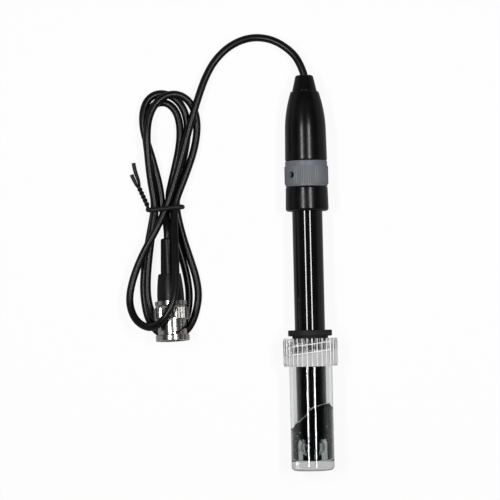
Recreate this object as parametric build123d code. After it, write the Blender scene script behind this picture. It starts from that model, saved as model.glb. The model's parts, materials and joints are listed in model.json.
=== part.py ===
from build123d import *
import os
from math import atan, asin, cos, degrees, pi, radians, sin, sqrt

# A combination pH electrode with its coaxial lead, bayonet plug and soaking bottle, lying on its side.
# Millimetres, +Z up. The electrode lies along Y with its cable end toward +Y, on the floor at Z = 0.

# Clearances
glue_gap = 0.04
ring_clearance = 0.10
seal_clearance = 0.05
stopper_clearance = 0.25
thread_room = 0.60
nut_clearance = 0.06
end_gap = 0.30

# Sensing shaft with its bulb guard
shaft_diameter = 12.0
shaft_wall = 1.2
shaft_length = 98.7
shaft_draft = 0.15
spigot_step = 0.3
guard_wall = 1.1
guard_prongs = 4
guard_gap = 4.6
guard_turn = 45.0
tip_round = 0.5
web_thickness = 2.5
tip_gap = 0.4

# Glass stem and bulb, and what seals them
chamber_gap = 1.8
stem_wall = 0.7
stem_rise = 1.5
bulb_flare = 0.7
bulb_wall = 0.4
bulb_recess = 1.5
bulb_headroom = 1.5
tip_seal_wall = 0.6
junction_diameter = 0.8
chamber_plug_height = 5.0
stem_plug_height = 4.0

# Wires and splices inside
wire_diameter = 0.8
reference_wire_start = 6.0
splice_wall = 0.66
splice_length = 6.0
splice_gap = 1.0
core_diameter = 1.2
strip_length = 5.5
drain_drop = 0.5

# Collar, with the neck that the refill ring turns on
collar_step = 1.45
collar_flare = 0.2
collar_height = 9.6
collar_round = 1.1
collar_socket_depth = 7.0
neck_wall = 2.1
spigot_length = 7.0
fill_hole_diameter = 2.8

# Refill ring
ring_wall = 1.7
ring_lip_step = 0.35
ring_height = 10.2
ring_upper_lip = 2.2
ring_lower_lip = 1.0
ring_ribs = 72
ring_rib_depth = 0.12
ring_edge_round = 0.3
ring_hole_turn = 46.0
neck_port_turn = 90.0

# Handle and cable nose
handle_draft = 0.2
handle_length = 27.5
handle_shoulder_height = 12.1
handle_wall = 1.8
handle_edge_round = 0.5
nose_ledge = 0.6
nose_step = 1.45
nose_stem_wall = 2.0
nose_taper = 1.5
nose_length = 6.5
nose_round = 0.9
cable_diameter = 3.0

# Soaking bottle: rubber seal, lid and vial
seal_wall = 1.05
seal_flange_width = 1.6
seal_flange_thickness = 2.4
seal_sleeve_length = 11.4
seal_edge_round = 0.4
seal_stand = 0.9
lid_wall = 1.7
lid_height = 11.0
lid_top_thickness = 1.6
lid_ribs = 66
lid_rib_height = 0.22
lid_rib_root = 0.08
lid_rib_share = 0.4
lid_rim = 0.8
vial_wall = 1.15
vial_length = 41.2
vial_base_thickness = 3.5
vial_round = 1.6
vial_inner_round = 1.0

# Bayonet plug, measured along its own axis from the rear of the boot
boot_sleeve_length = 14.3
boot_skirt_length = 10.9
boot_rear_wall = 1.2
boot_sleeve_wall = 0.75
boot_step = 1.0
boot_skirt_flare = 0.9
boot_round = 0.8
boot_cable_depth = 3.0
ferrule_wall = 0.56
ferrule_length = 11.0
crimp_tail_wall = 1.46
plug_flange_step = 1.7
plug_flange_thickness = 1.6
plug_neck_step = 0.65
contact_diameter = 8.1
contact_wall = 0.7
contact_length = 8.0
contact_slots = 4
contact_slot_width = 0.6
insulator_length = 5.0
pin_diameter = 1.4
pin_recess = 0.8
plug_gasket_length = 1.5
clip_thickness = 0.6
clip_groove_depth = 0.25
washer_thickness = 0.5
washer_width = 0.65
spring_space = 1.5
spring_sheet = 0.25

# Coupling nut of the plug
nut_chamber_wall = 1.2
nut_knurls = 36
nut_knurl_depth = 0.35
nut_bevel = 0.9
nut_band_length = 5.6
nut_socket_room = 0.85
nut_sleeve_wall = 0.8
nut_sleeve_length = 5.8
nut_rim_step = 1.0
nut_rim_length = 2.4
nut_rim_round = 0.3
nut_end_wall = 1.3
bayonet_slot_width = 2.2
bayonet_turn = 70.0
bayonet_rest_turn = 105.0
bayonet_land = 1.0
bayonet_end_diameter = 2.8
bayonet_groove_depth = 0.8

# Hank of cable, twist tie and the resting place of the plug
hank_waist = (-56.65, 26.8)
hank_waist_width = 10.6
hank_upper_loop = (-53.85, 61.95)
hank_upper_width = 24.5
hank_upper_eye = (-56.85, 62.3)
hank_upper_eye_width = 10.8
hank_lower_loop = (-54.95, -13.6)
hank_lower_width = 24.9
hank_lower_eye = (-56.0, -12.8)
hank_lower_eye_width = 14.6
hank_thickness = 4.1
hank_lower_thickness = 3.1
hank_eye_point = 6.0
tie_thickness = 1.6
tie_height = 9.4
tie_corner = 1.6
tie_long_end = [(-63.4, 26.8, 4.0), (-65.9, 31.8, 2.8), (-68.1, 37.8, 1.5), (-68.7, 45.3, 1.1)]
tie_short_end = [(-63.4, 26.8, 4.0), (-65.4, 32.2, 3.6), (-68.0, 36.6, 2.7), (-70.0, 40.0, 1.6)]
plug_rear = (-55.75, 14.8, 6.4)
plug_heading = -88.1
plug_rest_gap = 0.15

# Route of the lead past its first run out of the nose: round to the tie, round one open loop, back to the tie
lead_points = [
    (-0.8, 81.6, 7.3),
    (-4.2, 87.8, 5.9),
    (-12.0, 93.3, 4.6),
    (-20.8, 94.5, 3.7),
    (-29.0, 91.5, 3.4),
    (-35.4, 85.6, 3.7),
    (-39.4, 78.6, 4.5),
    (-42.4, 70.5, 5.6),
    (-45.8, 59.7, 6.0),
    (-49.3, 47.4, 6.0),
    (-52.7, 36.5, 6.0),
    (-56.1, 26.7, 6.2),
    (-60.8, 17.2, 7.2),
    (-66.4, 7.7, 6.8),
    (-70.5, -2.6, 6.9),
    (-71.7, -11.2, 8.2),
    (-68.7, -18.2, 10.9),
    (-62.7, -21.0, 14.6),
    (-57.5, -17.3, 17.9),
    (-53.6, -10.5, 17.9),
    (-52.5, -1.7, 15.4),
    (-52.6, 8.1, 12.5),
    (-52.9, 17.4, 9.3),
    (-52.9, 26.3, 6.3),
]
tail_start = (-57.0, 23.6, 2.9)
tail_knee = 3.5

# Radii of the electrode, from the shaft inward and outward
shaft_r = shaft_diameter / 2
tip_r = shaft_r - shaft_draft
bore_r = shaft_r - shaft_wall
spigot_r = shaft_r - spigot_step
guard_bore_r = tip_r - guard_wall
stem_r = bore_r - chamber_gap
stem_bore_r = stem_r - stem_wall
bulb_r = stem_r + bulb_flare
bulb_shoulder = sqrt(bulb_r**2 - stem_r**2)
web_hole_r = stem_r + glue_gap + tip_seal_wall + glue_gap
junction_ring_r = (web_hole_r + bore_r) / 2
wire_ring_r = (stem_r + bore_r) / 2
wire_r = wire_diameter / 2
core_r = core_diameter / 2
cable_r = cable_diameter / 2
neck_r = bore_r + neck_wall
collar_r = neck_r + collar_step
ring_bore_r = neck_r + ring_clearance
ring_r = ring_bore_r + ring_wall
nose_stem_r = cable_r + nose_stem_wall
nose_r = nose_stem_r + nose_step

# Radii of the bottle, each fitted round the last
seal_bore_r = shaft_r + seal_clearance
seal_sleeve_r = seal_bore_r + seal_wall
vial_bore_r = seal_sleeve_r + stopper_clearance
vial_r = vial_bore_r + vial_wall
lid_bore_r = vial_r + thread_room
lid_r = lid_bore_r + lid_wall

# Radii of the plug, each fitted round the last
crimp_tail_r = core_r + glue_gap + crimp_tail_wall
ferrule_r = crimp_tail_r + glue_gap + ferrule_wall
boot_pocket_r = ferrule_r + glue_gap
boot_sleeve_r = boot_pocket_r + boot_sleeve_wall
contact_r = contact_diameter / 2
contact_bore_r = contact_r - contact_wall
pin_r = pin_diameter / 2
plug_neck_r = contact_r + plug_neck_step
washer_bore_r = plug_neck_r + nut_clearance
washer_r = washer_bore_r + washer_width
chamber_r = washer_r + nut_clearance
nut_root_r = chamber_r + nut_chamber_wall
nut_r = nut_root_r + nut_knurl_depth
nut_bore_r = contact_r + nut_socket_room
nut_sleeve_r = nut_bore_r + nut_sleeve_wall
nut_rim_r = nut_sleeve_r + nut_rim_step

# Heights along the electrode, from the outside of the vial's base
guard_length = bulb_recess + bulb_r + bulb_shoulder + bulb_headroom
tip_h = vial_base_thickness + tip_gap
bulb_h = tip_h + bulb_recess + bulb_r
web_h = tip_h + guard_length
web_top = web_h + web_thickness
collar_h = tip_h + shaft_length
shaft_top = collar_h + collar_socket_depth
collar_top = collar_h + collar_height
ring_h = collar_top + end_gap / 2
ring_top = ring_h + ring_height
handle_h = ring_top + end_gap / 2
neck_top = handle_h + spigot_length
handle_top = handle_h + handle_length
nose_top = handle_top + nose_length
stem_top = neck_top + stem_rise
splice_h = stem_top + splice_gap
splice_middle = splice_h + splice_length / 2
splice_top = splice_h + splice_length
jacket_end = splice_top + strip_length
lid_top = vial_length + lid_height
vial_top = lid_top - lid_top_thickness - end_gap
seal_h = lid_top + seal_stand
seal_top = seal_h + seal_flange_thickness
bare_h = seal_top + 2 * end_gap
fill_h = ring_h + ring_lower_lip + (ring_height - ring_lower_lip - ring_upper_lip) / 2

# Stations along the plug, from the rear of its boot
boot_length = boot_sleeve_length + boot_skirt_length
ferrule_w = boot_length - ferrule_length
flange_w = boot_length
nut_w = flange_w + plug_flange_thickness + end_gap
washer_w = nut_w + nut_end_wall + end_gap / 3
spring_w = washer_w + washer_thickness
clip_w = spring_w + spring_space
neck_front_w = clip_w + clip_thickness + end_gap
chamber_end_w = neck_front_w + end_gap
nut_band_end_w = nut_w + nut_band_length
nut_rim_w = nut_band_end_w + nut_sleeve_length
nut_front_w = nut_rim_w + nut_rim_length
contact_front_w = neck_front_w + contact_length
insulator_w = neck_front_w - insulator_length


def rod(radius, bottom, top):
    """Upright cylinder between two heights."""
    return Pos(0, 0, bottom) * Cylinder(radius, top - bottom, align=(Align.CENTER, Align.CENTER, Align.MIN))


def pipe(outer, inner, bottom, top):
    """Upright tube between two heights."""
    overrun = top - bottom
    return rod(outer, bottom, top) - rod(inner, bottom - overrun, top + overrun)


def turned(*profile):
    """Solid of revolution. A profile point is (radius, height) or (radius, height, corner radius)."""
    face = make_face(Polyline(*[point[:2] for point in profile], close=True))
    for point in profile:
        if len(point) == 3:
            corner = face.vertices().sort_by_distance(Vector(*point[:2]))[0]
            face = fillet(corner, point[2])
    return revolve(Plane.XZ * face, Axis.Z)


def ribbed_rod(radius, depth, count, bottom, top, roots=(0.5,)):
    """Upright rod with straight ribs all round, V-cut unless roots sets them apart as narrow ridges."""
    corners = []
    for rib in range(count):
        for place, reach in ((0, radius), *((root, radius - depth) for root in roots)):
            angle = 2 * pi * (rib + place) / count
            corners.append((reach * cos(angle), reach * sin(angle)))
    return Pos(0, 0, bottom) * extrude(make_face(Polyline(*corners, close=True)), top - bottom)


def radial_hole(diameter, height, turn, reach):
    """Cylinder that runs outward from the axis, turned from the upper side of the lying part."""
    drill = Rot(90, 0, 0) * rod(diameter / 2, 0, reach)
    return Pos(0, 0, height) * Rot(0, 0, -turn) * drill


def cord(points, diameter):
    """Round cord of straight runs and tangent arcs, each arc as large as its two runs allow."""
    knots = [Vector(*point) for point in points]
    radii = []
    for before, here, after in zip(knots, knots[1:], knots[2:]):
        turn = radians((here - before).get_angle(after - here))
        shorter = min((here - before).length, (after - here).length)
        radii.append(0.45 * shorter * (1 + cos(turn)) / sin(turn))
    path = FilletPolyline(*knots, radius=radii)
    section = Plane(origin=path @ 0, z_dir=path % 0) * Circle(diameter / 2)
    return sweep(section, path=path)


# Electrode pieces


def shaft_body():
    """Moulded tube with a web above the bulb and four prongs round it."""
    body = turned(
        (tip_r, tip_h, tip_round),
        (shaft_r, bare_h),
        (shaft_r, collar_h),
        (spigot_r, collar_h),
        (spigot_r, shaft_top),
        (bore_r, shaft_top),
        (bore_r, web_top),
        (0, web_top),
        (0, web_h),
        (guard_bore_r, web_h),
        (guard_bore_r, tip_h),
    )
    body -= rod(web_hole_r, web_h - web_thickness, web_top + web_thickness)
    round_h = web_h - guard_gap / 2
    slot = Rectangle(guard_gap, 2 * (round_h - tip_h)) + Pos(0, round_h - tip_h) * Circle(guard_gap / 2)
    slot = Pos(0, 0, tip_h) * extrude(Plane.YZ * slot, shaft_diameter)
    for prong in range(guard_prongs):
        body -= Rot(0, 0, guard_turn + prong * 360 / guard_prongs) * slot
    return body - junction_rod(glue_gap)


def junction_rod(extra):
    """Porous junction through the web, over a guard slot, with extra radius for its hole."""
    frit = rod(junction_diameter / 2 + extra, web_h - extra, web_top + extra)
    return Rot(0, 0, guard_turn) * Pos(junction_ring_r, 0, 0) * frit


def glass_stem():
    """Blown glass tube ending in the thin sensing bulb."""
    outside = Pos(0, 0, bulb_h) * Sphere(bulb_r) + rod(stem_r, bulb_h, stem_top)
    hollow = Pos(0, 0, bulb_h) * Sphere(bulb_r - bulb_wall) + rod(stem_bore_r, bulb_h, stem_top + stem_rise)
    return outside - hollow


def tip_seal():
    return pipe(web_hole_r - glue_gap, stem_r + glue_gap, web_h, web_top)


def chamber_plug():
    """Rubber stopper of the electrolyte chamber, round the stem and the reference wire."""
    plug = pipe(bore_r - glue_gap, stem_r + glue_gap, neck_top - chamber_plug_height, neck_top)
    return plug - Pos(wire_ring_r, 0, 0) * rod(wire_r + glue_gap, web_top, nose_top)


def stem_plug():
    return pipe(stem_bore_r - glue_gap, wire_r + glue_gap, stem_top - stem_plug_height, stem_top)


def inner_wire():
    return rod(wire_r, bulb_h, splice_middle)


def reference_wire():
    return Pos(wire_ring_r, 0, 0) * rod(wire_r, web_top + reference_wire_start, splice_middle)


def core_splice():
    bore = wire_r + glue_gap
    return pipe(bore + splice_wall, bore, splice_h, splice_top)


def shield_splice():
    return Pos(wire_ring_r, 0, 0) * core_splice()


def shield_drain():
    """Drain wire from the end of the jacket across to the reference wire's splice."""
    start_r = core_r + glue_gap + wire_r
    route = [
        (start_r, 0, jacket_end),
        (start_r, 0, jacket_end - drain_drop),
        (wire_ring_r, 0, jacket_end - drain_drop - (wire_ring_r - start_r)),
        (wire_ring_r, 0, splice_middle + glue_gap),
    ]
    return cord(route, wire_diameter)


def cable_end():
    """End of the lead inside the handle: jacket, then core, then bare conductor."""
    return turned(
        (0, splice_middle + glue_gap),
        (wire_r, splice_middle + glue_gap),
        (wire_r, splice_top),
        (core_r, splice_top),
        (core_r, jacket_end),
        (cable_r, jacket_end),
        (cable_r, nose_top),
        (0, nose_top),
    )


def filler_neck():
    """Collar with the shaft's socket below and the neck with the fill port above."""
    socket_r = spigot_r + glue_gap
    body = turned(
        (socket_r, collar_h),
        (collar_r + collar_flare, collar_h, collar_round),
        (collar_r, collar_top, handle_edge_round),
        (neck_r, collar_top),
        (neck_r, neck_top),
        (bore_r, neck_top),
        (bore_r, shaft_top + glue_gap),
        (socket_r, shaft_top + glue_gap),
    )
    return body - radial_hole(fill_hole_diameter, fill_h, ring_hole_turn + neck_port_turn, collar_r)


def refill_ring():
    """Turning ring with two plain lips, a ribbed band and the fill hole."""
    lip_r = ring_r - ring_lip_step
    ring = turned(
        (0, ring_h),
        (lip_r, ring_h, ring_edge_round),
        (lip_r, ring_top, ring_edge_round),
        (0, ring_top),
    )
    ring += ribbed_rod(ring_r, ring_rib_depth, ring_ribs, ring_h + ring_lower_lip, ring_top - ring_upper_lip)
    ring -= rod(ring_bore_r, collar_h, handle_top)
    return ring - radial_hole(fill_hole_diameter, fill_h, ring_hole_turn, 2 * ring_r)


def handle():
    """Tapered shell over the neck, drawn in to the cable nose."""
    low = (collar_r, handle_h)
    shoulder = (collar_r - handle_draft, handle_h + handle_shoulder_height)
    top = (nose_r + nose_ledge, handle_top)
    hole_r = nose_stem_r + glue_gap
    roof = handle_top - handle_wall
    side = Line(low, shoulder)
    ogive = TangentArc(shoulder, top, tangent=side % 1)
    inside = Polyline(
        top,
        (hole_r, handle_top),
        (hole_r, roof),
        (shoulder[0] - handle_wall, shoulder[1]),
        (shoulder[0] - handle_wall, neck_top + glue_gap),
        (neck_r + glue_gap, neck_top + glue_gap),
        (neck_r + glue_gap, handle_h),
        low,
    )
    face = make_face(Curve() + [side, ogive, inside])
    for corner in (low, top):
        face = fillet(face.vertices().sort_by_distance(Vector(*corner))[0], handle_edge_round)
    return revolve(Plane.XZ * face, Axis.Z)


def cable_nose():
    """Strain relief plugged into the top of the handle."""
    bore = cable_r + glue_gap
    return turned(
        (bore, handle_top - handle_wall),
        (nose_stem_r, handle_top - handle_wall),
        (nose_stem_r, handle_top),
        (nose_r, handle_top),
        (nose_r - nose_taper, nose_top, nose_round),
        (bore, nose_top),
    )


# Soaking bottle


def bottle_seal():
    """Rubber stopper: a flange above the lid and a sleeve down into the vial's mouth."""
    flange_r = seal_sleeve_r + seal_flange_width
    return turned(
        (seal_bore_r, seal_h - seal_sleeve_length),
        (seal_sleeve_r, seal_h - seal_sleeve_length),
        (seal_sleeve_r, seal_h),
        (flange_r, seal_h, seal_edge_round),
        (flange_r, seal_top, seal_edge_round),
        (seal_bore_r, seal_top),
    )


def bottle_lid():
    """Ribbed screw lid, open through the top for the seal."""
    lid = rod(lid_r - lid_rib_height, vial_length, lid_top)
    depth = lid_rib_height + lid_rib_root
    roots = (lid_rib_share / 2, 1 - lid_rib_share / 2)
    lid += ribbed_rod(lid_r, depth, lid_ribs, vial_length + lid_rim, lid_top - lid_rim, roots)
    lid -= rod(lid_bore_r, 0, lid_top - lid_top_thickness)
    return lid - rod(seal_sleeve_r + stopper_clearance, 0, lid_top + lid_height)


def vial():
    """Clear vial with a thick rounded base."""
    return turned(
        (0, 0),
        (vial_r, 0, vial_round),
        (vial_r, vial_top),
        (vial_bore_r, vial_top),
        (vial_bore_r, vial_base_thickness, vial_inner_round),
        (0, vial_base_thickness),
    )


# Bayonet plug, built along its own axis


def plug_boot():
    """Soft boot: a slim sleeve for the cable, stepping out to a flared skirt."""
    bore = cable_r + glue_gap
    rear = (bore + boot_rear_wall, 0)
    step = (boot_sleeve_r + boot_step, boot_sleeve_length)
    front = (step[0] + boot_skirt_flare, boot_length)
    skirt = TangentArc(front, step, tangent=(0, -1))
    inside = Polyline(
        step,
        (boot_sleeve_r, boot_sleeve_length),
        rear,
        (bore, 0),
        (bore, ferrule_w),
        (boot_pocket_r, ferrule_w),
        (boot_pocket_r, boot_length),
        front,
    )
    face = make_face(Curve() + [skirt, inside])
    corner = face.vertices().sort_by_distance(Vector(*rear))[0]
    return revolve(Plane.XZ * fillet(corner, boot_round), Axis.Z)


def crimp_ferrule():
    return pipe(ferrule_r, crimp_tail_r + glue_gap, ferrule_w, boot_length)


def plug_body():
    """Turned body: hollow crimp tail, flange, clip neck and slotted outer contact."""
    core = core_r + glue_gap
    groove_r = plug_neck_r - clip_groove_depth
    tail_w = ferrule_w + end_gap
    body = turned(
        (core, tail_w),
        (crimp_tail_r, tail_w),
        (crimp_tail_r, flange_w),
        (plug_neck_r + plug_flange_step, flange_w),
        (plug_neck_r + plug_flange_step, flange_w + plug_flange_thickness),
        (plug_neck_r, flange_w + plug_flange_thickness),
        (plug_neck_r, clip_w),
        (groove_r, clip_w),
        (groove_r, clip_w + clip_thickness),
        (plug_neck_r, clip_w + clip_thickness),
        (plug_neck_r, neck_front_w),
        (contact_r, neck_front_w),
        (contact_r, contact_front_w),
        (contact_bore_r, contact_front_w),
        (contact_bore_r, insulator_w),
        (core, insulator_w),
    )
    low = (Align.CENTER, Align.MIN, Align.MIN)
    slit = Box(contact_slot_width, contact_diameter, contact_length, align=low)
    for turn in range(contact_slots):
        body -= Rot(0, 0, turn * 360 / contact_slots) * Pos(0, 0, neck_front_w + plug_gasket_length) * slit
    return body


def plug_insulator():
    return pipe(contact_bore_r - glue_gap, pin_r + glue_gap, insulator_w, neck_front_w)


def plug_centre_pin():
    """Centre contact with a rounded point, crimped on the core behind the insulator."""
    tip = contact_front_w - pin_recess
    return turned((0, insulator_w), (pin_r, insulator_w), (pin_r, tip, pin_r / 2), (0, tip))


def plug_gasket():
    outer = nut_bore_r - stopper_clearance
    return pipe(outer, contact_r + glue_gap, neck_front_w, neck_front_w + plug_gasket_length)


def retaining_clip():
    inner = plug_neck_r - clip_groove_depth + glue_gap
    return pipe(washer_r, inner, clip_w + glue_gap, clip_w + clip_thickness - glue_gap)


def spring_washer():
    """Coned spring washer between the slip washer and the clip."""
    return turned(
        (washer_bore_r, clip_w - spring_sheet),
        (washer_bore_r, clip_w),
        (washer_r, spring_w + spring_sheet),
        (washer_r, spring_w),
    )


def slip_washer():
    return pipe(washer_r, washer_bore_r, washer_w, washer_w + washer_thickness)


def coupling_nut():
    """Knurled nut with a spring chamber, two helical bayonet slots and a front rim."""
    nut = turned(
        (0, nut_w),
        (nut_r - nut_bevel, nut_w),
        (nut_root_r, nut_w + nut_bevel),
        (nut_root_r, nut_band_end_w),
        (nut_sleeve_r, nut_band_end_w),
        (nut_sleeve_r, nut_rim_w),
        (nut_rim_r, nut_rim_w, nut_rim_round),
        (nut_rim_r, nut_front_w, nut_rim_round),
        (0, nut_front_w),
    )
    knurl_end = nut_band_end_w - nut_bevel / 2
    nut += ribbed_rod(nut_r, nut_knurl_depth, nut_knurls, nut_w + nut_bevel, knurl_end)
    nut -= rod(washer_bore_r, 0, nut_front_w)
    nut -= rod(chamber_r, nut_w + nut_end_wall, chamber_end_w)
    nut -= rod(nut_bore_r, chamber_end_w, nut_front_w + nut_rim_length)
    for turn in (0, 180):
        nut -= Rot(0, 0, bayonet_rest_turn + turn) * bayonet_slot()
    return nut


def bayonet_slot():
    """Cut for one lug: an axial groove in the rim, a helical ramp and a round seat at its end."""
    seat_w = nut_band_end_w + bayonet_land + bayonet_end_diameter / 2
    ramp = nut_rim_w - seat_w
    groove_r = nut_bore_r + bayonet_groove_depth
    wide = Rectangle(nut_sleeve_r, bayonet_slot_width, align=(Align.MIN, Align.CENTER))
    section = Pos(nut_sleeve_r / 2, 0, seat_w) * wide
    centre = (0, 0, seat_w)
    cut = Part() + Solid.extrude_linear_with_rotation(section.face(), centre, (0, 0, ramp), bayonet_turn)
    cut += Pos(0, 0, seat_w) * Rot(0, 90, 0) * rod(bayonet_end_diameter / 2, nut_sleeve_r / 2, nut_r)
    entry = Rectangle(groove_r, bayonet_slot_width, align=(Align.MIN, Align.CENTER))
    cut += Rot(0, 0, bayonet_turn) * Pos(0, 0, nut_rim_w) * extrude(entry, 2 * nut_rim_length)
    return cut


# Cord pieces and tie


def teardrop(loop, width, point, point_width):
    """Round loop drawn out to a smaller round at its point."""
    big = Pos(*loop) * Circle(width / 2)
    small = Pos(*point) * Circle(point_width / 2)
    return make_hull(big.edges() + small.edges())


def cable_hank():
    """Outer shape of the tied turns: two teardrop loops with open eyes, meeting at the tie."""
    upper = teardrop(hank_upper_loop, hank_upper_width, hank_waist, hank_waist_width)
    upper_point = (hank_waist[0], hank_waist[1] + hank_eye_point)
    upper -= teardrop(hank_upper_eye, hank_upper_eye_width, upper_point, cable_r)
    lower = teardrop(hank_lower_loop, hank_lower_width, hank_waist, hank_waist_width)
    lower_point = (hank_waist[0], hank_waist[1] - hank_eye_point)
    lower -= teardrop(hank_lower_eye, hank_lower_eye_width, lower_point, cable_diameter)
    hank = extrude(upper, hank_thickness) + extrude(lower, hank_lower_thickness)
    notch = Box(2 * hank_waist_width, 2 * tie_thickness, 2 * (tie_thickness + end_gap + tie_corner / 2))
    return hank - Pos(*hank_waist, 0) * notch


def twist_tie():
    """Coated wire tie: one flat loop round the waist of the hank and two twisted ends."""
    loop_width = hank_waist_width + 2 * (tie_thickness + 2 * end_gap)
    loop_plane = Plane(origin=(*hank_waist, tie_height / 2), x_dir=(1, 0, 0), z_dir=(0, -1, 0))
    loop_height = tie_height - tie_thickness
    path = (loop_plane * RectangleRounded(loop_width - tie_thickness, loop_height, tie_corner)).wire()
    section = Plane(origin=path @ 0, z_dir=path % 0) * Circle(tie_thickness / 2)
    return sweep(section, path=path) + cord(tie_long_end, tie_thickness) + cord(tie_short_end, tie_thickness)


# Lay the electrode down: its lid and its refill ring rest on the floor

ring_edge_h = ring_top - ring_upper_lip
lean = degrees(atan((lid_r - ring_r) / (ring_edge_h - lid_top)))
lie_down = Rot(-90 - lean, 0, 0)
electrode = {
    "shaft_body": shaft_body(),
    "glass_stem": glass_stem(),
    "tip_seal": tip_seal(),
    "ceramic_junction": junction_rod(0),
    "chamber_plug": chamber_plug(),
    "stem_plug": stem_plug(),
    "inner_wire": inner_wire(),
    "reference_wire": reference_wire(),
    "core_splice": core_splice(),
    "shield_splice": shield_splice(),
    "shield_drain": shield_drain(),
    "cable_end": cable_end(),
    "filler_neck": filler_neck(),
    "refill_ring": refill_ring(),
    "handle": handle(),
    "cable_nose": cable_nose(),
    "bottle_seal": bottle_seal(),
    "bottle_lid": bottle_lid(),
    "vial": vial(),
}
outer_names = ("refill_ring", "handle", "cable_nose", "bottle_lid", "vial")
box = Compound([lie_down * electrode[name] for name in outer_names]).bounding_box()
lay = Pos(-box.center().X, -box.center().Y, -box.min.Z) * lie_down

# Rest the plug with its rim on the lower turns of the hank
rim_height = hank_lower_thickness + plug_rest_gap + nut_rim_r
plug_rise = asin((rim_height - plug_rear[2]) / nut_rim_w)
heading = radians(plug_heading)
plug_axis = (cos(heading) * cos(plug_rise), sin(heading) * cos(plug_rise), sin(plug_rise))
plug_place = Plane(origin=plug_rear, z_dir=plug_axis).location
plug = {
    "plug_boot": plug_boot(),
    "crimp_ferrule": crimp_ferrule(),
    "plug_body": plug_body(),
    "plug_insulator": plug_insulator(),
    "plug_centre_pin": plug_centre_pin(),
    "plug_gasket": plug_gasket(),
    "retaining_clip": retaining_clip(),
    "spring_washer": spring_washer(),
    "slip_washer": slip_washer(),
    "coupling_nut": coupling_nut(),
}

# The cord runs from the nose to the hank, and from the hank into the plug's boot
cable_exit = (lay * Pos(0, 0, nose_top)).position
boot_entry = (plug_place * Pos(0, 0, -tail_knee)).position
jacket_stop = (plug_place * Pos(0, 0, boot_cable_depth)).position
core_stop = insulator_w - glue_gap
tail_core = plug_place * rod(core_r, boot_cable_depth, core_stop)
pieces = {name: lay * shape for name, shape in electrode.items()}
pieces.update({name: plug_place * shape for name, shape in plug.items()})
pieces["cable_lead"] = cord([cable_exit, *lead_points], cable_diameter)
pieces["cable_hank"] = cable_hank()
pieces["cable_tail"] = cord([tail_start, boot_entry, jacket_stop], cable_diameter) + tail_core
pieces["twist_tie"] = twist_tie()

os.makedirs("parts", exist_ok=True)
for name, shape in pieces.items():
    export_step(shape, f"parts/{name}.step")
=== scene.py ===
import json
import bmesh
import bpy
from math import asin, cos, pi, radians, sin, sqrt, tan
from mathutils import Matrix, Vector


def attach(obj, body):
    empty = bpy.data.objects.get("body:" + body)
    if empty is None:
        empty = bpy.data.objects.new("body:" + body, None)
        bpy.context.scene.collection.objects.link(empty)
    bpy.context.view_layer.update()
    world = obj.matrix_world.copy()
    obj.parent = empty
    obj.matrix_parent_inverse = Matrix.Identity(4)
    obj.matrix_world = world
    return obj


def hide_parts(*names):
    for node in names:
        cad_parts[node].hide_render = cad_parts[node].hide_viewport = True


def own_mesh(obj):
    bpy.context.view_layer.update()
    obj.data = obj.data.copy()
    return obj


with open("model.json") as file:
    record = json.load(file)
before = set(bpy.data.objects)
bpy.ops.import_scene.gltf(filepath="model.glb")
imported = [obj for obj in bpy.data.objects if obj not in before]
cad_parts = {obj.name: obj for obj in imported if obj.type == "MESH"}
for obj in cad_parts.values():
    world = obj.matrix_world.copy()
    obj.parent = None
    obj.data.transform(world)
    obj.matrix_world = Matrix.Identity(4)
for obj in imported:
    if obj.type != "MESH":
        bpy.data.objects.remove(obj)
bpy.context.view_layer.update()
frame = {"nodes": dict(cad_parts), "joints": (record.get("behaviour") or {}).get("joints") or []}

# Camera on a copy stand. It looks straight down at the lying electrode through a long lens, with
# the frame turned a little so that the electrode leans to the left as it does in the photograph.
mm = 0.001
photo_width = 198.5 * mm
lens_height = 1000 * mm
optics = bpy.data.cameras.new("copy_stand_camera")
optics.sensor_width = 36
optics.lens = optics.sensor_width * lens_height / photo_width
camera = bpy.data.objects.new("copy_stand_camera", optics)
aim_x, aim_y, aim_z = -23.05 * mm, 9.45 * mm, 9 * mm
frame_turn = radians(-1.29)
camera.location = (aim_x, aim_y, lens_height + aim_z)
camera.rotation_euler = (0, 0, frame_turn)
bpy.context.scene.collection.objects.link(camera)
bpy.context.scene.camera = camera
bpy.context.scene.view_settings.view_transform = "Standard"


# Table top and studio. A sheet of matt white laminate runs far past the object, white to the eye and
# in reflections, and keeps a soft shadow. Two strip boxes hang over it, and the ceiling is dim.
def shade(code):
    """Linear colour of an sRGB hex code."""
    channels = [int(code[i : i + 2], 16) / 255 for i in (1, 3, 5)]
    return (*[c / 12.92 if c <= 0.04045 else ((c + 0.055) / 1.055) ** 2.4 for c in channels], 1)


def add(tree, kind, inputs=(), **settings):
    """New shader node with its settings. An input takes a value, or a socket to link."""
    made = tree.nodes.new("ShaderNode" + kind)
    for name, value in settings.items():
        setattr(made, name, value)
    for name, value in dict(inputs).items():
        if isinstance(value, bpy.types.NodeSocket):
            tree.links.new(value, made.inputs[name])
        else:
            made.inputs[name].default_value = value
    return made


def bare_material(name):
    """New material with an empty node tree."""
    made = bpy.data.materials.new(name)
    made.use_nodes = True
    made.node_tree.nodes.clear()
    return made, made.node_tree


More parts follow.
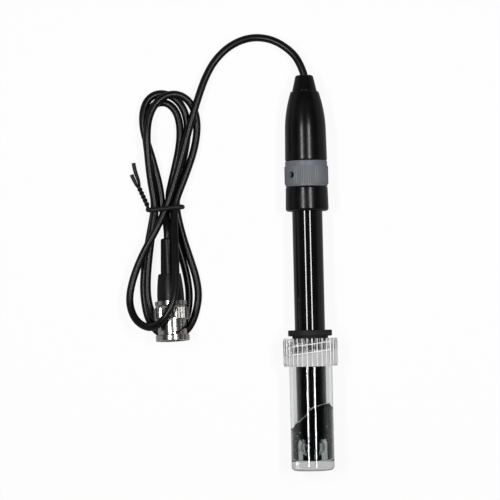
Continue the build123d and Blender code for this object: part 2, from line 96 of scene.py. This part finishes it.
white_laminate, tree = bare_material("white_laminate")
matt = add(tree, "BsdfDiffuse", {"Color": shade("#f4f4f4")})
path = add(tree, "LightPath")
mirrored = add(tree, "Math", {0: path.outputs["Is Glossy Ray"], 1: 0.32}, operation="MULTIPLY")
straight = add(
    tree,
    "Math",
    {0: path.outputs["Is Camera Ray"], 1: path.outputs["Is Transmission Ray"]},
    operation="MAXIMUM",
)
level = add(tree, "Math", {0: straight.outputs[0], 1: mirrored.outputs[0]}, operation="MAXIMUM")
glow = add(tree, "Emission", {"Color": shade("#ffffff"), "Strength": level.outputs[0]})
seen = add(tree, "Math", {0: straight.outputs[0], 1: path.outputs["Is Glossy Ray"]}, operation="MAXIMUM")
share = add(tree, "Math", {0: seen.outputs[0], 1: 0.9}, operation="MULTIPLY")
top = add(tree, "MixShader", {0: share.outputs[0], 1: matt.outputs[0], 2: glow.outputs[0]})
add(tree, "OutputMaterial", {"Surface": top.outputs[0]})
table_r = 4000 * mm
lowered = Matrix.Translation((0, 0, -0.05 * mm))
sheet = bmesh.new()
bmesh.ops.create_circle(sheet, cap_ends=True, segments=96, radius=table_r, matrix=lowered)
table_mesh = bpy.data.meshes.new("table_top")
sheet.to_mesh(table_mesh)
sheet.free()
table_mesh.materials.append(white_laminate)
table_top = bpy.data.objects.new("table_top", table_mesh)
bpy.context.scene.collection.objects.link(table_top)

strip_height = 620 * mm
strip_width = 70 * mm
strip_length = 300 * mm
strip_middle = 36 * mm
strip_watts = 2.2
for name, tilt in (("left_strip_box", -22), ("right_strip_box", 18)):
    lamp = bpy.data.lights.new(name, "AREA")
    lamp.shape = "RECTANGLE"
    lamp.size = strip_width
    lamp.size_y = strip_length
    lamp.energy = strip_watts
    strip = bpy.data.objects.new(name, lamp)
    strip.location = (strip_height * tan(radians(tilt)), strip_middle, strip_height)
    strip.rotation_euler = (0, radians(tilt), 0)
    bpy.context.scene.collection.objects.link(strip)

room = bpy.data.worlds.new("studio_room")
room.use_nodes = True
tree = room.node_tree
tree.nodes.clear()
direction = add(tree, "TexCoord")
height = add(tree, "SeparateXYZ", {0: direction.outputs["Generated"]})
walls = add(tree, "ValToRGB", {0: height.outputs["Z"]})
walls.color_ramp.elements[0].position = 0.08
walls.color_ramp.elements[0].color = shade("#b0b0b0")
walls.color_ramp.elements[1].position = 0.5
walls.color_ramp.elements[1].color = shade("#303030")
light = add(tree, "Background", {"Color": walls.outputs[0], "Strength": 1.0})
add(tree, "OutputWorld", {"Surface": light.outputs[0]})
bpy.context.scene.world = room


# Sensing shaft with its bulb guard: a long tube moulded in black epoxy-filled plastic and polished in
# the tool, so it mirrors the strip boxes as two sharp lines. Its faint ripples are the mould's.
def grain(tree, size, detail=2.0):
    """Noise whose cells are about that large, in metres, on the piece's own coordinates."""
    place = add(tree, "TexCoord")
    return add(tree, "TexNoise", {"Vector": place.outputs["Object"], "Scale": 1 / size, "Detail": detail})


def moulded(name, colour, wear, rough, polished, cell, depth, more=()):
    """Moulded plastic or rubber: a colour that wear lightens in patches, and a grain of that cell size."""
    made, tree = bare_material(name)
    patches = grain(tree, 9 * mm, 4)
    tint = add(tree, "ValToRGB", {0: patches.outputs[0]})
    tint.color_ramp.elements[0].position = 0.42
    tint.color_ramp.elements[0].color = shade(colour)
    tint.color_ramp.elements[1].position = 0.72
    tint.color_ramp.elements[1].color = shade(wear)
    skin = grain(tree, cell, 3)
    gloss = add(tree, "MapRange", {0: patches.outputs[0], 1: 0.3, 2: 0.7, 3: polished, 4: rough})
    relief = add(tree, "Bump", {"Strength": 1.0, "Distance": depth, "Height": skin.outputs[0]})
    surface = add(
        tree,
        "BsdfPrincipled",
        {
            "Base Color": tint.outputs[0],
            "Roughness": gloss.outputs[0],
            "Normal": relief.outputs[0],
            **dict(more),
        },
    )
    add(tree, "OutputMaterial", {"Surface": surface.outputs[0]})
    return made


nodes = frame["nodes"]


def dress(material, *names):
    """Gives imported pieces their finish."""
    for name in names:
        nodes[name].data.materials.clear()
        nodes[name].data.materials.append(material)


polished_epoxy = moulded(
    "polished_black_epoxy", "#0b0b0c", "#101011", 0.075, 0.05, 6 * mm, 0.004 * mm,
    {"IOR": 1.55, "Specular IOR Level": 0.34},
)
dress(polished_epoxy, "shaft_body")

# Glass stem, its seals and its wires. The stem is blown soda glass with a thin bulb at its tip, set in
# clear silicone beside a white ceramic frit, and the chloride-coated silver wires run inside.
blown_glass, tree = bare_material("blown_glass")
surface = add(
    tree,
    "BsdfPrincipled",
    {"Base Color": shade("#f0f2f2"), "Roughness": 0.0, "IOR": 1.5, "Transmission Weight": 1.0},
)
add(tree, "OutputMaterial", {"Surface": surface.outputs[0]})
dress(blown_glass, "glass_stem")
clear_silicone = moulded("clear_silicone", "#b9b9b2", "#cfcfc8", 0.5, 0.35, 0.8 * mm, 0.02 * mm, {"IOR": 1.41})
dress(clear_silicone, "tip_seal")
porous_frit = moulded("porous_frit", "#e4e1d8", "#f2f0ea", 0.95, 0.8, 0.12 * mm, 0.05 * mm)
dress(porous_frit, "ceramic_junction")
stopper_rubber = moulded("stopper_rubber", "#1d1c1b", "#2b2a28", 0.75, 0.6, 0.3 * mm, 0.02 * mm)
dress(stopper_rubber, "chamber_plug", "stem_plug")


def drawn_metal(name, colour, dull, rough, bright, cell):
    """Metal whose drawn, turned or plated skin has a fine grain of that cell size."""
    made, tree = bare_material(name)
    patches = grain(tree, cell, 5)
    tint = add(tree, "ValToRGB", {0: patches.outputs[0]})
    tint.color_ramp.elements[0].position = 0.35
    tint.color_ramp.elements[0].color = shade(dull)
    tint.color_ramp.elements[1].position = 0.6
    tint.color_ramp.elements[1].color = shade(colour)
    gloss = add(tree, "MapRange", {0: patches.outputs[0], 1: 0.3, 2: 0.7, 3: rough, 4: bright})
    relief = add(tree, "Bump", {"Strength": 1.0, "Distance": 0.002 * mm, "Height": patches.outputs[0]})
    surface = add(
        tree,
        "BsdfPrincipled",
        {
            "Base Color": tint.outputs[0],
            "Roughness": gloss.outputs[0],
            "Normal": relief.outputs[0],
            "Metallic": 1.0,
        },
    )
    add(tree, "OutputMaterial", {"Surface": surface.outputs[0]})
    return made


chlorided_silver = drawn_metal("chlorided_silver", "#a9a49c", "#7d7772", 0.5, 0.3, 0.4 * mm)
dress(chlorided_silver, "inner_wire", "reference_wire")
tinned_copper = drawn_metal("tinned_copper", "#c3c1bb", "#a5a29b", 0.35, 0.2, 0.5 * mm)
dress(tinned_copper, "shield_drain", "core_splice", "shield_splice")

# Collar with the filler neck, handle and cable nose: three black ABS mouldings with a fine satin
# sparked grain, glued in a row. The strip boxes blur on them to two soft grey lines.
satin_abs = moulded(
    "satin_black_abs", "#090909", "#0f0f0f", 0.27, 0.21, 0.22 * mm, 0.0004 * mm,
    {"IOR": 1.53, "Specular IOR Level": 0.23},
)
dress(satin_abs, "filler_neck", "handle", "cable_nose")


def ease_edges(width, *names):
    """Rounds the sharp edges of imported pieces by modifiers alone."""
    for name in names:
        join = nodes[name].modifiers.new("joined", "WELD")
        join.merge_threshold = 0.001 * mm
        ease = nodes[name].modifiers.new("eased", "BEVEL")
        ease.width = width
        ease.segments = 3
        ease.limit_method = "ANGLE"
        ease.angle_limit = radians(30)
        ease.harden_normals = True


ease_edges(0.2 * mm, "handle", "filler_neck", "cable_nose")

# Refill ring: a turning sleeve of mid-grey polypropylene with fine upright grip ribs between two plain
# lips, and one drilled hole that lines up with the port in the neck. Its skin is dull and slightly waxy.
grey_polypropylene = moulded(
    "grey_polypropylene", "#65686e", "#6c6f75", 0.46, 0.37, 0.3 * mm, 0.006 * mm,
    {"IOR": 1.49, "Specular IOR Level": 0.3},
)
dress(grey_polypropylene, "refill_ring")

# Bottle seal: a black nitrile stopper that grips the shaft, with a flange over the lid and a sleeve in
# the mouth of the vial. Moulded rubber is matt, with a dusty bloom on its edges.
nitrile = moulded(
    "nitrile_rubber", "#161616", "#222222", 0.8, 0.6, 0.35 * mm, 0.02 * mm,
    {"IOR": 1.52, "Specular IOR Level": 0.25},
)
dress(nitrile, "bottle_seal")

# Vial: crystal polystyrene, injection moulded, clear enough to see the shaft through it.
# Its thick base and its walls grey the light a little, and its skin has the mould's faint ripples.
crystal_polystyrene, tree = bare_material("crystal_polystyrene")
ripple = grain(tree, 5 * mm, 1)
place = add(tree, "TexCoord")
along = add(tree, "SeparateXYZ", {0: place.outputs["Object"]})
thick_base_y, thin_wall_y = -75.0 * mm, -74.2 * mm
thin = add(tree, "MapRange", {0: along.outputs["Y"], 1: thick_base_y, 2: thin_wall_y})
tint = add(tree, "ValToRGB", {0: thin.outputs[0]})
tint.color_ramp.elements[0].color = shade("#c4c5c5")
tint.color_ramp.elements[1].color = shade("#e3e4e4")
relief = add(tree, "Bump", {"Strength": 1.0, "Distance": 0.002 * mm, "Height": ripple.outputs[0]})
surface = add(
    tree,
    "BsdfPrincipled",
    {
        "Base Color": tint.outputs[0],
        "Roughness": 0.02,
        "IOR": 1.58,
        "Transmission Weight": 1.0,
        "Specular Tint": shade("#d0d0d0"),
        "Normal": relief.outputs[0],
    },
)
add(tree, "OutputMaterial", {"Surface": surface.outputs[0]})
dress(crystal_polystyrene, "vial")

# Screw lid: the same plastic, moulded with narrow grip ribs. Their tips are painted white, a painted highlight
# that makes them stand out as bright lines. Dried salt hazes its lower half, and two slanted white lines are
# painted light: the lit thread as seen through the lid.
joints = {joint["name"]: joint for joint in frame["joints"]}
lid_middle = 46.7 * mm
lid_axis = Vector(joints["lid_turn"]["axis"])
vial_base = Vector(joints["lid_turn"]["pos_m"]) - lid_axis * lid_middle
lean = asin(-lid_axis.z)
standing = Matrix.Translation(vial_base) @ Matrix.Rotation(-pi / 2 - lean, 4, "X")
lid_ribs = 66
rib_share = 0.4
haze_low, haze_high = 47.0 * mm, 49.0 * mm
haze_rag = 2.4 * mm
line_slope = -0.13
lines_middle = 48.3 * mm
lines_apart = 3.2 * mm
line_half = 0.14 * mm
line_fade_from, line_fade_to = 7.2 * mm, 8.4 * mm
bare_clear = 0.98
polystyrene_salt_haze_and_painted_highlights, tree = bare_material("polystyrene_salt_haze_and_painted_highlights")
place = add(tree, "TexCoord")
upright = standing.inverted()
stood = add(
    tree,
    "Mapping",
    {"Vector": place.outputs["Object"], "Location": upright.translation, "Rotation": upright.to_euler()},
)
spot = add(tree, "SeparateXYZ", {0: stood.outputs[0]})
turn = add(tree, "Math", {0: spot.outputs["Y"], 1: spot.outputs["X"]}, operation="ARCTAN2")
count = add(tree, "Math", {0: turn.outputs[0], 1: lid_ribs / (2 * pi)}, operation="MULTIPLY")
off_tip = add(tree, "Math", {0: count.outputs[0], 1: 1.0}, operation="PINGPONG")
# Painted highlight: the rib tips lose their clearness and show the white base colour, so they read as bright
# lines.
painted_tip_highlight_clear = add(
    tree, "MapRange", {0: off_tip.outputs[0], 1: rib_share * 0.25, 2: rib_share * 0.6, 3: 0.0, 4: bare_clear}
)
crust = grain(tree, 0.7 * mm, 3)
slant = add(
    tree, "Math", {0: spot.outputs["X"], 1: line_slope, 2: spot.outputs["Z"]}, operation="MULTIPLY_ADD"
)
ragged = add(tree, "Math", {0: crust.outputs[0], 1: haze_rag, 2: slant.outputs[0]}, operation="MULTIPLY_ADD")
salt_clear = add(tree, "MapRange", {0: ragged.outputs[0], 1: haze_low, 2: haze_high, 3: 0.57, 4: bare_clear})
# Painted light: two slanted white lines where the lit thread shows through, fading out towards the lid's
# sides.
from_middle = add(tree, "Math", {0: slant.outputs[0], 1: lines_middle}, operation="SUBTRACT")
either_side = add(tree, "Math", {0: from_middle.outputs[0]}, operation="ABSOLUTE")
on_line = add(
    tree, "Math", {0: either_side.outputs[0], 1: lines_apart / 2, 2: line_half}, operation="COMPARE"
)
out_from_axis = add(tree, "Math", {0: spot.outputs["X"]}, operation="ABSOLUTE")
line_fade = add(
    tree, "MapRange", {0: out_from_axis.outputs[0], 1: line_fade_from, 2: line_fade_to, 3: 0.93, 4: 0.0}
)
painted_thread_line_cover = add(tree, "Math", {0: on_line.outputs[0], 1: line_fade.outputs[0]}, operation="MULTIPLY")
painted_thread_line_clear = add(tree, "Math", {0: bare_clear, 1: painted_thread_line_cover.outputs[0]}, operation="SUBTRACT")
painted_highlights = add(tree, "Math", {0: painted_tip_highlight_clear.outputs[0], 1: painted_thread_line_clear.outputs[0]}, operation="MINIMUM")
clear = add(tree, "Math", {0: painted_highlights.outputs[0], 1: salt_clear.outputs[0]}, operation="MINIMUM")
relief = add(tree, "Bump", {"Strength": 1.0, "Distance": 0.004 * mm, "Height": crust.outputs[0]})
surface = add(
    tree,
    "BsdfPrincipled",
    {
        "Base Color": shade("#fcfcfc"),
        "Roughness": 0.09,
        "IOR": 1.58,
        "Specular Tint": shade("#282828"),
        "Transmission Weight": clear.outputs[0],
        "Normal": relief.outputs[0],
    },
)
add(tree, "OutputMaterial", {"Surface": surface.outputs[0]})
dress(polystyrene_salt_haze_and_painted_highlights, "bottle_lid")
ease_edges(0.06 * mm, "bottle_lid")

# Thread of the vial: one right-hand ridge, moulded on the outside of the vial's mouth in the same plastic.
# The lid runs on it and has rubbed it white.
rubbed_polystyrene = moulded(
    "rubbed_polystyrene", "#e6e6e6", "#f4f4f4", 0.5, 0.35, 0.4 * mm, 0.01 * mm,
    {"IOR": 1.58, "Transmission Weight": 0.25},
)


def laid_piece(name, build, material, body, place):
    """Lays down a finished object from a bmesh, smooth between sharp edges, and joins it to its body."""
    bmesh.ops.transform(build, matrix=place, verts=build.verts)
    bmesh.ops.remove_doubles(build, verts=build.verts, dist=1e-7)
    bmesh.ops.recalc_face_normals(build, faces=build.faces)
    mesh = bpy.data.meshes.new(name)
    build.to_mesh(mesh)
    build.free()
    mesh.shade_smooth()
    mesh.set_sharp_from_angle(angle=radians(35))
    mesh.materials.append(material)
    made = bpy.data.objects.new(name, mesh)
    bpy.context.scene.collection.objects.link(made)
    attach(made, body)


vial_r = 8.5 * mm
thread_pitch = 3.9 * mm
thread_turns = 1.7
thread_start = 42.9 * mm
thread_depth = 0.42 * mm
thread_foot = 1.0 * mm
thread_crest = 0.24 * mm
ridge = bmesh.new()
foot_r, crest_r = vial_r - 0.02 * mm, vial_r + thread_depth
flank = (thread_foot - thread_crest) / 2
profile = [(foot_r, 0), (crest_r, flank), (crest_r, flank + thread_crest), (foot_r, thread_foot)]
corners = [ridge.verts.new((r, 0, thread_start + z)) for r, z in profile]
section = ridge.faces.new(corners)
steps = int(96 * thread_turns)
bmesh.ops.spin(
    ridge,
    geom=[section, *section.edges, *section.verts],
    axis=(0, 0, 1),
    cent=(0, 0, 0),
    dvec=(0, 0, thread_pitch * thread_turns / steps),
    angle=2 * pi * thread_turns,
    steps=steps,
)
laid_piece("vial_thread", ridge, rubbed_polystyrene, "vial", standing)

# Storage liquid: clear potassium chloride solution, held in the narrow gap between the vial and the shaft.
# Its edge climbs one side and hangs with a few bubbles, and it makes the shaft look as wide as the vial.
floor_h = 3.47 * mm
floor_r = 6.2 * mm
edge_line = [
    (-1, 16.5), (-0.75, 19.2), (-0.3, 21.7), (-0.2, 24.0), (0.2, 25.4), (0.65, 26.2), (0.85, 26.4), (1, 24.6)
]


def edge_height(across):
    """Height of the liquid's edge, from its left side at -1 to its right side at 1."""
    for (before, low), (after, high) in zip(edge_line, edge_line[1:]):
        if across <= after:
            share = max(0, (across - before) / (after - before))
            return low + (high - low) * share * share * (3 - 2 * share)
    return edge_line[-1][1]


pool = bmesh.new()
pool_sides = 96
loop = bmesh.ops.create_circle(pool, cap_ends=True, segments=pool_sides, radius=floor_r)["verts"]
bmesh.ops.translate(pool, verts=loop, vec=(0, 0, floor_h))
rim = [e for e in pool.edges if e.is_boundary]
# radius and height in mm, from the base first and then from the liquid's edge
base_rings = [(7.0, 3.75), (7.33, 4.3), (7.38, 5.0)]
edge_rings = [(7.38, 0), (6.9, -0.45), (6.4, -0.45), (5.9, 0), (4.0, 0)]
for number, (radius, height) in enumerate(base_rings + edge_rings):
    grown = bmesh.ops.extrude_edge_only(pool, edges=rim)["geom"]
    rim = [e for e in grown if isinstance(e, bmesh.types.BMEdge)]
    for vert in [v for v in grown if isinstance(v, bmesh.types.BMVert)]:
        turn = Vector((vert.co.x, vert.co.y, 0)).normalized()
        start = 0 if number < len(base_rings) else edge_height(turn.x)
        vert.co = Vector((turn.x * radius, turn.y * radius, start + height)) * mm
bmesh.ops.holes_fill(pool, edges=rim)
salt_water, tree = bare_material("potassium_chloride_solution")
surface = add(
    tree,
    "BsdfPrincipled",
    {
        "Base Color": shade("#c4c7c7"),
        "Roughness": 0.0,
        "IOR": 1.35,
        "Transmission Weight": 1.0,
        "Specular Tint": shade("#303030"),
    },
)
add(tree, "OutputMaterial", {"Surface": surface.outputs[0]})
laid_piece("storage_liquid", pool, salt_water, "vial", standing)

# Meniscus highlight: a thin white line painted on the inside of the vial along the edge of the liquid, a
# painted highlight for the light that the meniscus catches. It is drawn all round, just above where the liquid
# meets the wall.
vial_bore = 7.35 * mm
meniscus_line_r = vial_bore - 0.05 * mm
meniscus_line_d = 0.22 * mm
meniscus_line_rise = 0.1
meniscus_line_spots = 96
meniscus_line_curve = bpy.data.curves.new("meniscus_highlight_line", "CURVE")
meniscus_line_curve.dimensions = "3D"
meniscus_line_curve.bevel_depth = meniscus_line_d / 2
meniscus_line_curve.bevel_resolution = 2
meniscus_line_curve.resolution_u = 4
line = meniscus_line_curve.splines.new("NURBS")
line.points.add(meniscus_line_spots - 1)
for step, point in enumerate(line.points):
    turn = 2 * pi * step / meniscus_line_spots
    height = (edge_height(cos(turn)) + meniscus_line_rise) * mm
    point.co = (*(standing @ Vector((meniscus_line_r * cos(turn), meniscus_line_r * sin(turn), height))), 1)
line.order_u = 3
line.use_cyclic_u = True
# Painted highlight: plain white, for the bright edge of the meniscus.
meniscus_line_curve.materials.append(moulded("painted_meniscus_highlight", "#efefef", "#fafafa", 0.9, 0.7, 0.2 * mm, 0.02 * mm))
meniscus_highlight_line = bpy.data.objects.new("meniscus_highlight_line", meniscus_line_curve)
bpy.context.scene.collection.objects.link(meniscus_highlight_line)
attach(meniscus_highlight_line, "vial")

# Froth: a few small bubbles of air that cling to the vial's wall under the edge of the liquid.
# Their pale colour is painted light: each is a skin of water full of light, so they look like pale beads.
froth = moulded(
    "bubble_froth", "#f2f2f2", "#ffffff", 0.3, 0.15, 0.3 * mm, 0.01 * mm,
    {"IOR": 1.33, "Transmission Weight": 0.3},
)
bubble_ring_r = 6.72
bubbles = bmesh.new()
for x, height, size in (
    (5.2, 17.3, 0.9), (-5.6, 13.8, 1.0), (-5.4, 9.8, 0.7), (5.5, 11.4, 0.8),
    (-4.5, 15.0, 0.6), (-5.9, 11.9, 0.6), (-4.9, 8.2, 0.7),
):
    outward = -sqrt(bubble_ring_r ** 2 - x ** 2)
    where = Matrix.Translation(Vector((x, outward, height)) * mm)
    bmesh.ops.create_uvsphere(bubbles, u_segments=24, v_segments=16, radius=size * mm / 2, matrix=where)
laid_piece("trapped_bubbles", bubbles, froth, "vial", standing)

# Cable: a thin coaxial lead in soft black PVC with a satin extruded skin. It leaves the nose, runs round to
# the tie, makes six loose loops in a hank that the tie holds at the waist, and ends in the plug's boot.
cable_route = [
    # out of the nose and round to the tie
    (0.0, 78.4, 7.6), (-0.8, 81.6, 7.3), (-4.2, 87.8, 5.9), (-12.0, 93.3, 4.6), (-20.8, 94.5, 3.7),
    (-29.0, 91.5, 3.4), (-35.4, 85.6, 3.7), (-39.4, 78.6, 4.5), (-42.4, 70.5, 5.6), (-45.8, 59.7, 6.0),
    (-49.3, 47.4, 6.0), (-52.7, 36.5, 6.0), (-56.1, 26.7, 6.2),
    # the open loop over the plug
    (-60.8, 17.2, 7.2), (-66.4, 7.7, 6.8), (-70.5, -2.6, 6.9), (-71.7, -11.2, 8.2), (-68.7, -18.2, 10.9),
    (-62.7, -21.0, 14.6), (-57.5, -17.3, 17.9), (-53.6, -10.5, 17.9), (-52.5, -1.7, 15.4), (-52.6, 8.1, 12.5),
    (-52.9, 17.4, 9.3), (-52.9, 26.3, 6.3),
    # first upper turn
    (-51.6, 31.3, 5.4), (-49.4, 36.5, 4.8), (-46.9, 42.8, 4.2), (-44.6, 49.4, 3.7), (-43.3, 55.5, 3.3),
    (-43.0, 61.1, 3.0), (-44.0, 66.0, 2.9), (-46.3, 69.8, 3.5), (-49.8, 72.1, 4.1), (-53.9, 72.3, 4.8),
    (-57.7, 70.4, 5.2), (-60.6, 66.9, 5.8), (-62.4, 62.2, 6.4), (-63.0, 57.0, 7.1), (-63.0, 51.3, 7.2),
    (-62.6, 45.0, 6.8), (-62.0, 38.6, 6.4), (-61.1, 32.6, 6.1), (-60.3, 26.8, 5.8),
    # first lower turn
    (-61.3, 21.0, 5.0), (-62.5, 13.9, 4.3), (-63.5, 6.8, 4.2), (-64.2, 0.4, 4.2), (-64.5, -5.9, 4.1),
    (-63.9, -11.5, 4.1), (-62.3, -16.1, 3.7), (-59.3, -19.3, 2.1), (-56.4, -21.6, 1.55), (-53.3, -21.6, 1.55),
    (-50.5, -19.5, 1.7), (-48.6, -15.7, 1.8), (-47.8, -10.8, 1.6), (-47.8, -5.6, 1.6), (-48.6, 0.1, 1.6),
    (-50.1, 6.5, 1.7), (-52.1, 13.6, 1.9), (-53.8, 20.5, 2.2), (-54.9, 26.7, 3.0),
    # second upper turn, the inner one
    (-55.0, 32.1, 3.2), (-53.8, 37.0, 3.2), (-52.4, 42.5, 3.1), (-50.9, 48.5, 3.0), (-50.0, 54.1, 2.7),
    (-49.9, 59.6, 2.3), (-50.9, 64.6, 2.0), (-53.3, 68.0, 1.8), (-56.5, 69.4, 1.6), (-59.9, 68.6, 1.6),
    (-62.4, 65.8, 1.5), (-63.7, 61.4, 1.5), (-63.8, 56.0, 1.4), (-63.2, 49.9, 1.5), (-62.3, 43.1, 1.7),
    (-61.5, 36.8, 2.2), (-61.0, 31.5, 2.8), (-60.8, 26.9, 3.1),
    # second lower turn
    (-61.9, 21.4, 2.2), (-63.4, 14.4, 1.6), (-64.7, 7.6, 1.5), (-65.6, 1.2, 1.5), (-66.0, -5.6, 1.5),
    (-65.5, -11.9, 1.5), (-64.3, -17.4, 1.5), (-61.6, -21.9, 1.5), (-57.4, -24.4, 1.5), (-53.2, -24.6, 1.5),
    (-49.6, -22.9, 1.5), (-46.8, -19.2, 1.6), (-44.9, -14.0, 1.7), (-43.9, -8.1, 1.9), (-44.7, -1.2, 2.1),
    (-47.0, 6.4, 2.4), (-49.4, 14.0, 2.8), (-51.1, 20.9, 3.1), (-52.1, 26.7, 3.1),
    # third upper turn, the outer one, and down into the boot
    (-52.0, 32.1, 2.5), (-50.9, 37.7, 1.9), (-49.4, 44.0, 1.6), (-48.0, 50.4, 1.5), (-47.0, 56.4, 1.5),
    (-47.0, 61.8, 1.5), (-48.3, 66.5, 1.6), (-50.7, 70.0, 1.6), (-53.8, 72.1, 1.7), (-57.4, 72.9, 2.1),
    (-60.9, 71.9, 2.6), (-63.4, 69.1, 3.2), (-64.6, 65.0, 3.9), (-64.7, 60.7, 4.3), (-64.1, 56.5, 4.3),
    (-62.9, 52.4, 4.3), (-61.5, 47.8, 4.2), (-60.2, 42.6, 4.0), (-58.9, 37.4, 3.8), (-58.1, 32.2, 3.7),
    (-57.8, 26.7, 3.7), (-56.4, 22.6, 4.1), (-55.8, 18.2, 6.1), (-55.8, 14.7, 6.4), (-55.6, 11.8, 6.7),
]
cable_d = 3.0 * mm
lead = bpy.data.curves.new("coaxial_cable", "CURVE")
lead.dimensions = "3D"
lead.bevel_depth = cable_d / 2
lead.bevel_resolution = 6
lead.resolution_u = 8
lead.use_fill_caps = True
line = lead.splines.new("NURBS")
line.points.add(len(cable_route) - 1)
for point, (x, y, z) in zip(line.points, cable_route):
    point.co = (x * mm, y * mm, z * mm, 1)
line.order_u = 3
line.use_endpoint_u = True
soft_pvc = moulded(
    "extruded_black_pvc", "#080808", "#0d0d0d", 0.35, 0.3, 3 * mm, 0.001 * mm,
    {"IOR": 1.53, "Specular IOR Level": 0.24},
)
lead.materials.append(soft_pvc)
coaxial_cable = bpy.data.objects.new("coaxial_cable", lead)
bpy.context.scene.collection.objects.link(coaxial_cable)
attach(coaxial_cable, "electrode")
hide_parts("cable_lead", "cable_hank", "cable_tail")
dress(soft_pvc, "cable_end")

# Bayonet plug: a soft PVC boot over a crimped ferrule, a turned and nickel-plated brass body with a white
# insulator and a gilt pin, and the sprung coupling nut, knurled and plated bright.
boot_pvc = moulded(
    "moulded_black_pvc", "#0b0b0b", "#131313", 0.42, 0.32, 0.3 * mm, 0.012 * mm,
    {"IOR": 1.53, "Specular IOR Level": 0.25},
)
dress(boot_pvc, "plug_boot")
bright_nickel = drawn_metal("bright_nickel_plate", "#bdbcb9", "#acaba8", 0.24, 0.16, 1.2 * mm)
dress(bright_nickel, "coupling_nut", "plug_body", "crimp_ferrule", "slip_washer")
spring_steel = drawn_metal("spring_steel", "#9a9994", "#84837f", 0.35, 0.22, 0.6 * mm)
dress(spring_steel, "spring_washer", "retaining_clip")
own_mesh(nodes["spring_washer"])
dress(drawn_metal("gilt_contact", "#e0b765", "#c99f4f", 0.3, 0.18, 0.5 * mm), "plug_centre_pin")
white_insulator = moulded("turned_white_insulator", "#e2e1dc", "#efeeea", 0.55, 0.4, 0.3 * mm, 0.01 * mm)
dress(white_insulator, "plug_insulator")
dress(nitrile, "plug_gasket")

# Twist tie: a steel wire in black plastic, wrapped once round the waist of the hank and twisted on itself.
# The twist pulls its coating thin, and the two ends stand out to the left as they were snipped.
tie_d = 2.0 * mm
twist_low = Vector((-63.5, 27.9, 3.3))
twist_high = Vector((-67.0, 35.8, 2.0))
twist_r = 0.58
twist_spots = 17
twist_step = radians(60)
twist_share = 0.5


def twisted_strand(start):
    """One wire of the twist, from the hank outwards: points in mm, each with its share of the thickness."""
    along = twist_high - twist_low
    across = along.cross(Vector((0, 0, 1))).normalized()
    upward = along.normalized().cross(across)
    spots = []
    for step in range(twist_spots):
        turn = start + twist_step * step
        centre = twist_low + along * step / (twist_spots - 1)
        spots.append((*(centre + (across * cos(turn) + upward * sin(turn)) * twist_r), twist_share))
    return spots


tie_route = [
    # the long end, and down the twist
    (-68.9, 45.3, 0.85, 0.8), (-68.4, 42.0, 0.9, 0.8), (-67.2, 38.8, 1.3, 0.75),
    *reversed(twisted_strand(pi / 2)),
    # once round the waist of the hank, from below
    (-63.3, 26.6, 2.0, 0.6), (-62.9, 26.3, 0.75, 0.64), (-60.8, 26.35, 0.66, 0.64), (-56.6, 26.7, 0.66, 0.64),
    (-51.8, 27.1, 0.66, 0.64), (-49.8, 27.2, 0.8, 0.7), (-49.5, 27.2, 4.6, 1), (-49.9, 27.2, 8.4, 1),
    (-51.8, 27.1, 8.85, 1), (-56.6, 26.7, 8.9, 1), (-61.3, 26.2, 8.85, 1), (-63.2, 26.2, 8.1, 1),
    (-63.5, 26.6, 5.6, 0.75),
    # up the twist, and the short end
    *twisted_strand(3 * pi / 2),
    (-68.4, 37.5, 2.4, 0.75), (-69.7, 40.5, 1.8, 0.8),
]
wrap = bpy.data.curves.new("twist_tie_wire", "CURVE")
wrap.dimensions = "3D"
wrap.bevel_depth = tie_d / 2
wrap.bevel_resolution = 4
wrap.resolution_u = 8
wrap.use_fill_caps = True
line = wrap.splines.new("NURBS")
line.points.add(len(tie_route) - 1)
for point, (x, y, z, share) in zip(line.points, tie_route):
    point.co = (x * mm, y * mm, z * mm, 1)
    point.radius = share
line.order_u = 3
line.use_endpoint_u = True
tie_plastic = moulded(
    "coated_tie_wire", "#121212", "#1c1c1c", 0.55, 0.42, 0.4 * mm, 0.015 * mm,
    {"IOR": 1.5, "Specular IOR Level": 0.25},
)
wrap.materials.append(tie_plastic)
twist_tie_wire = bpy.data.objects.new("twist_tie_wire", wrap)
bpy.context.scene.collection.objects.link(twist_tie_wire)
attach(twist_tie_wire, "electrode")
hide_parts("twist_tie")
